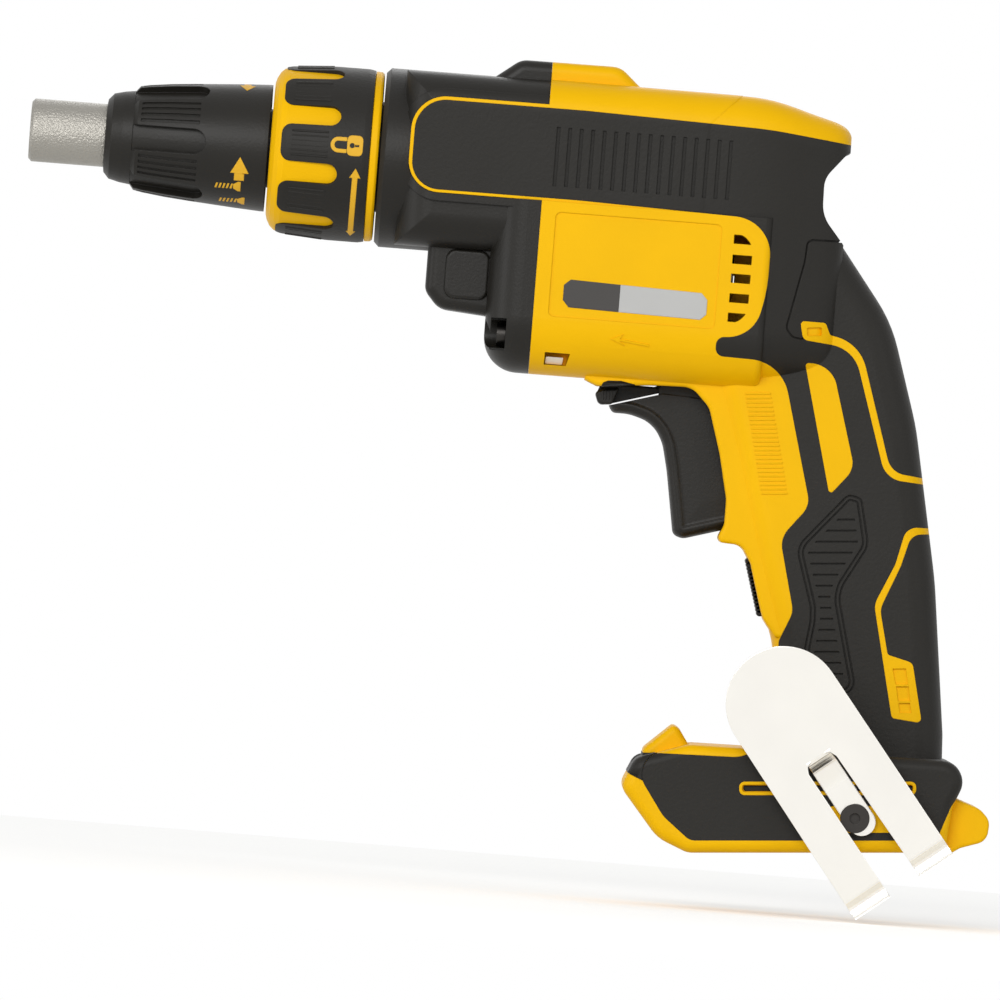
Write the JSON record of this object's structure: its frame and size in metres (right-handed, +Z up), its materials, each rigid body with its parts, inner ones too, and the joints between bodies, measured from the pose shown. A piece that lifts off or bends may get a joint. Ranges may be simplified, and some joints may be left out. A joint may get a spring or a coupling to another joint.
{
  "type": "drywall screwdriver",
  "caption": "Cordless pistol-grip drywall screwdriver with depth-setting nose, lock collar, push-in dog clutch, trigger, belt clip and an open foot for a slide-on battery.",
  "frame": {"origin": "centre of the nose tube's mouth, on the spindle axis", "axes": "-X points out of the nose towards the work, +Z is up towards the top of the barrel, the belt clip is on the -Y side"},
  "size_m": [0.2923, 0.0826, 0.2402],
  "materials": {
    "yellow_nylon": "glass-filled nylon, fine spark texture",
    "black_nylon": "glass-filled nylon, fine spark texture",
    "black_soft": "soft thermoplastic overmould, matt",
    "cast_alloy": "tumbled zinc die-casting",
    "bright_steel": "machined steel",
    "nickel_steel": "nickel-plated spring steel",
    "dark_steel": "black-oxide steel",
    "bronze": "sintered bronze",
    "copper": "enamelled copper wire",
    "lamination": "stacked electrical steel",
    "magnet": "sintered magnet",
    "white_nylon": "natural nylon",
    "board": "glass-fibre circuit board"
  },
  "bodies": {
    "housing": {"left_housing": "yellow_nylon", "right_housing": "yellow_nylon", "left_overmould": "black_soft", "right_overmould": "black_soft", "hump_pad": "black_soft", "gear_case": "black_nylon", "gear_case_screws": "dark_steel", "housing_screws": "dark_steel", "front_bush": "bronze", "nose_retaining_ring": "black_soft", "bearing_plate": "cast_alloy", "rear_bush": "bronze", "thrust_bearing": "bright_steel", "motor_front_bearing": "bright_steel", "motor_rear_bearing": "bright_steel", "stator_core": "lamination", "stator_insulator": "white_nylon", "stator_windings": "copper", "sensor_board": "board", "control_module": "black_nylon", "switch_module": "black_nylon", "terminal_block": "black_nylon", "terminal_blades": "bronze", "belt_clip": "nickel_steel", "belt_clip_screw": "dark_steel"},
    "clutch_gear": {"drive_gear": "bright_steel", "clutch_spring": "bright_steel"},
    "spindle_unit": {"spindle": "bright_steel", "bit_holder": "nickel_steel"},
    "rotor": {"motor_shaft": "bright_steel", "pinion": "bright_steel", "rotor_core": "lamination", "rotor_magnets": "magnet", "fan": "black_nylon"},
    "nose_unit": {"nose_sleeve": "black_nylon", "cone_snap_ring": "bright_steel"},
    "depth_cone": {"nose_cone": "black_nylon"},
    "depth_tube": {"nose_tube": "cast_alloy"},
    "collar": {"lock_collar": "yellow_nylon", "collar_grip": "black_soft"},
    "trigger": {"trigger": "black_nylon"},
    "reverse_lever": {"reverse_lever": "black_nylon"}
  },
  "joints": [
    {"name": "spindle_spin", "type": "hinge", "parent": "housing", "child": "clutch_gear", "pos_m": [0, 0, 0], "axis": [1, 0, 0], "continuous": true},
    {"name": "motor_spin", "type": "hinge", "parent": "housing", "child": "rotor", "pos_m": [0, 0, -0.02678], "axis": [1, 0, 0], "continuous": true},
    {"name": "spindle_push", "type": "slide", "parent": "clutch_gear", "child": "spindle_unit", "axis": [1, 0, 0], "range_m": [0, 0.0035], "stiffness_N_per_m": 1500, "springref_m": -0.004, "deforming": ["clutch_spring"]},
    {"name": "nose_pull", "type": "slide", "parent": "housing", "child": "nose_unit", "axis": [-1, 0, 0], "range_m": [0, 0.09]},
    {"name": "collar_turn", "type": "hinge", "parent": "nose_unit", "child": "collar", "pos_m": [0.085, 0, 0], "axis": [1, 0, 0], "range_deg": [0, 40]},
    {"name": "depth_turn", "type": "hinge", "parent": "nose_unit", "child": "depth_cone", "pos_m": [0.045, 0, 0], "axis": [1, 0, 0], "range_deg": [-180, 180]},
    {"name": "depth_slide", "type": "slide", "parent": "nose_unit", "child": "depth_tube", "axis": [1, 0, 0], "range_m": [-0.0031, 0.0031]},
    {"name": "trigger_pull", "type": "slide", "parent": "housing", "child": "trigger", "axis": [0.9455, 0, 0.3256], "range_m": [0, 0.007], "stiffness_N_per_m": 600, "springref_m": -0.005},
    {"name": "lever_swing", "type": "hinge", "parent": "housing", "child": "reverse_lever", "pos_m": [0.2, 0, -0.056], "axis": [-0.309, 0, 0.9511], "range_deg": [-10, 10]}
  ],
  "couplings": [
    {"joint": "motor_spin", "follows": "spindle_spin", "ratio": -4.25},
    {"joint": "depth_slide", "follows": "depth_turn", "m_per_rad": 0.00095493}
  ]
}
